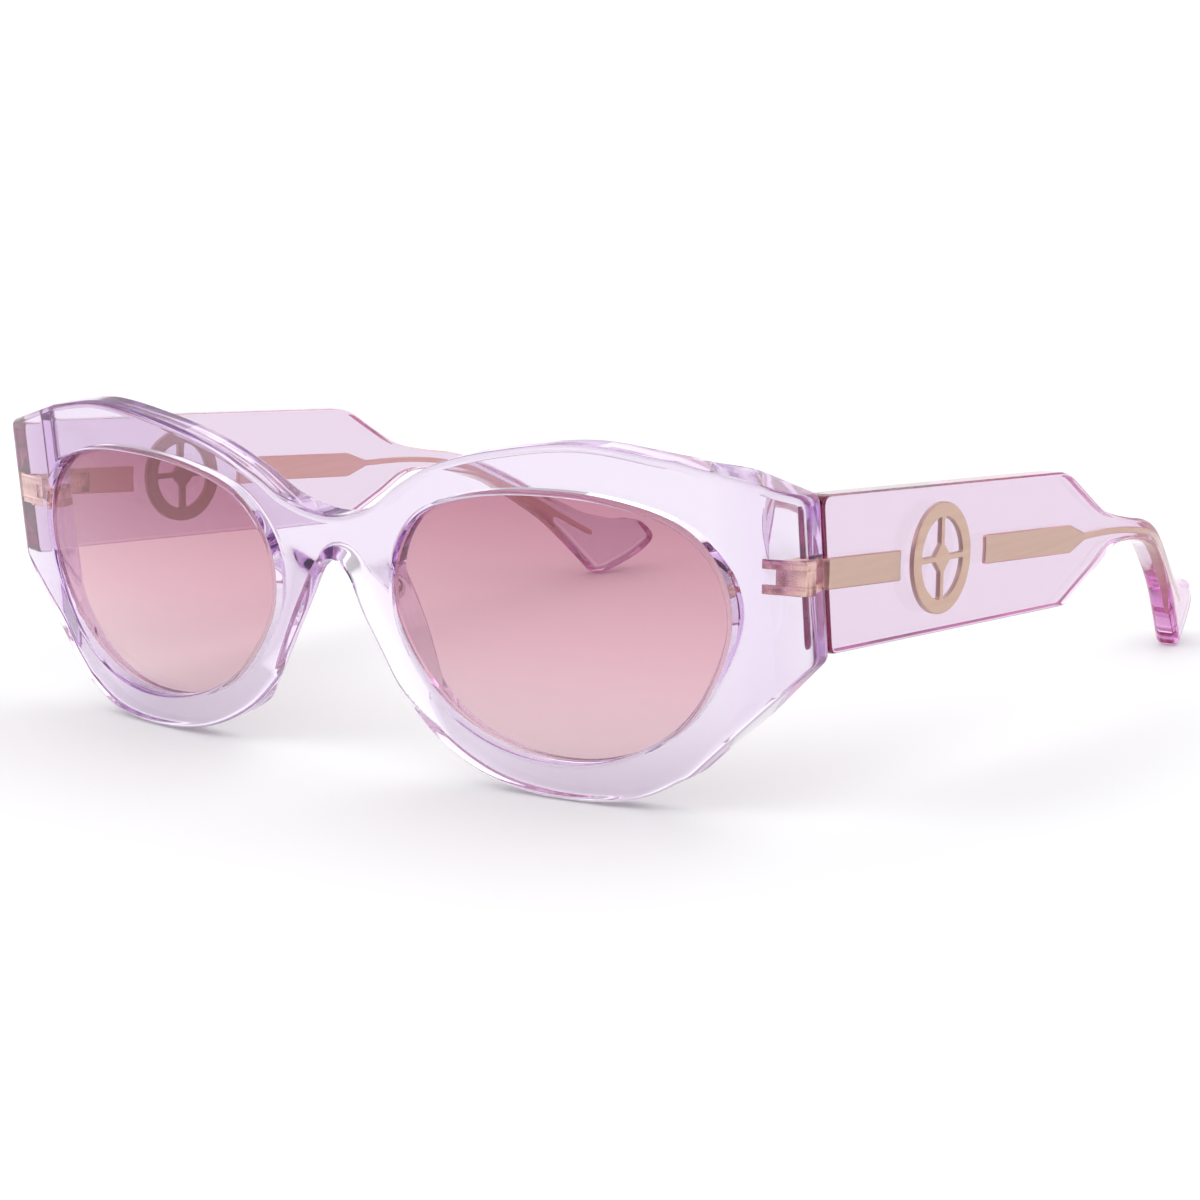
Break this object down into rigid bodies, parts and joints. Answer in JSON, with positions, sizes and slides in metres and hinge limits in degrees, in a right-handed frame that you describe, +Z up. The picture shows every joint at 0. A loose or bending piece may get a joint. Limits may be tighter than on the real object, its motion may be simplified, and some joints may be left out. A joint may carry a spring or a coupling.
{
  "type": "cat eye sunglasses",
  "caption": "Cat eye sunglasses with a clear lilac acetate front, rose-tinted lenses and wide folding temples inlaid with metal bars and a round emblem.",
  "frame": {"origin": "on the surface that the open glasses stand on, under the middle of their bounding box", "axes": "+X to the wearer's left, -Y the way the wearer looks, +Z up from the surface; the glasses stand open on their rims and temple tips"},
  "size_m": [0.1484, 0.1452, 0.0483],
  "materials": {
    "lilac_acetate": "polished, clear",
    "tinted_lens": "polished, gradient tint",
    "rose_gold": "satin, rose gold plate",
    "steel": "bright"
  },
  "bodies": {
    "front": {"front_frame": "lilac_acetate", "lens_left": "tinted_lens", "lens_right": "tinted_lens", "nose_pad_left": "lilac_acetate", "nose_pad_right": "lilac_acetate", "front_hinge_left": "rose_gold", "front_hinge_right": "rose_gold", "hinge_screw_left": "steel", "hinge_screw_right": "steel"},
    "temple_left": {"temple_left": "lilac_acetate", "temple_hinge_left": "rose_gold", "front_bar_left": "rose_gold", "emblem_left": "rose_gold", "core_left": "rose_gold"},
    "temple_right": {"temple_right": "lilac_acetate", "temple_hinge_right": "rose_gold", "front_bar_right": "rose_gold", "emblem_right": "rose_gold", "core_right": "rose_gold"}
  },
  "joints": [
    {"name": "fold_left", "type": "hinge", "parent": "front", "child": "temple_left", "pos_m": [0.0693, -0.05681, 0.03168], "axis": [0, 0.0633, 0.998], "range_deg": [0, 82]},
    {"name": "fold_right", "type": "hinge", "parent": "front", "child": "temple_right", "pos_m": [-0.0693, -0.05681, 0.03168], "axis": [0, -0.0633, -0.998], "range_deg": [0, 68]}
  ]
}
